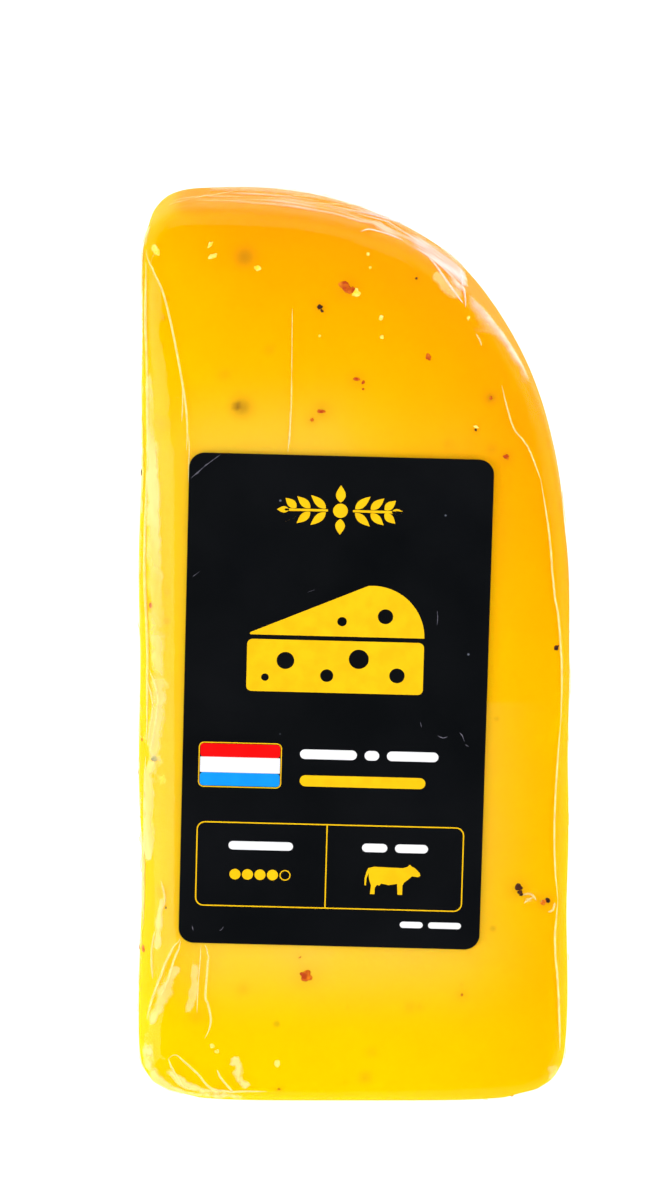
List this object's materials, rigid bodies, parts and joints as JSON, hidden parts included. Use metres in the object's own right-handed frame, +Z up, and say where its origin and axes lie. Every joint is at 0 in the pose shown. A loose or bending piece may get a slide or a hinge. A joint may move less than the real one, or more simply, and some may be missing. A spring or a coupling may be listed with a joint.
{
  "type": "packed cheese wedge",
  "caption": "Wedge of yellow cheese with dark truffle bits, vacuum packed in a clear shrink bag with welded ends, a dark label on its front cut face and a pale one on its back.",
  "frame": {"origin": "bottom centre of the pack's bounding box, on the surface that it lies on", "axes": "+Z up from the back cut face, +Y along the wedge from the blunt tip to the rind, +X across it to the wheel's flat side"},
  "size_m": [0.0566, 0.1212, 0.0386],
  "materials": {
    "cheese": "smooth, waxy, slightly translucent",
    "clear_film": "clear gloss, creased at the edges",
    "welded_film": "clear gloss with a faint ribbed weld",
    "dark_label": "smooth coated, satin",
    "pale_label": "smooth coated, satin"
  },
  "bodies": {
    "root": {"cheese_wedge": "cheese", "shrink_bag": "clear_film", "rind_seal": "welded_film", "tip_seal": "welded_film", "front_label": "dark_label", "back_label": "pale_label"}
  },
  "joints": []
}
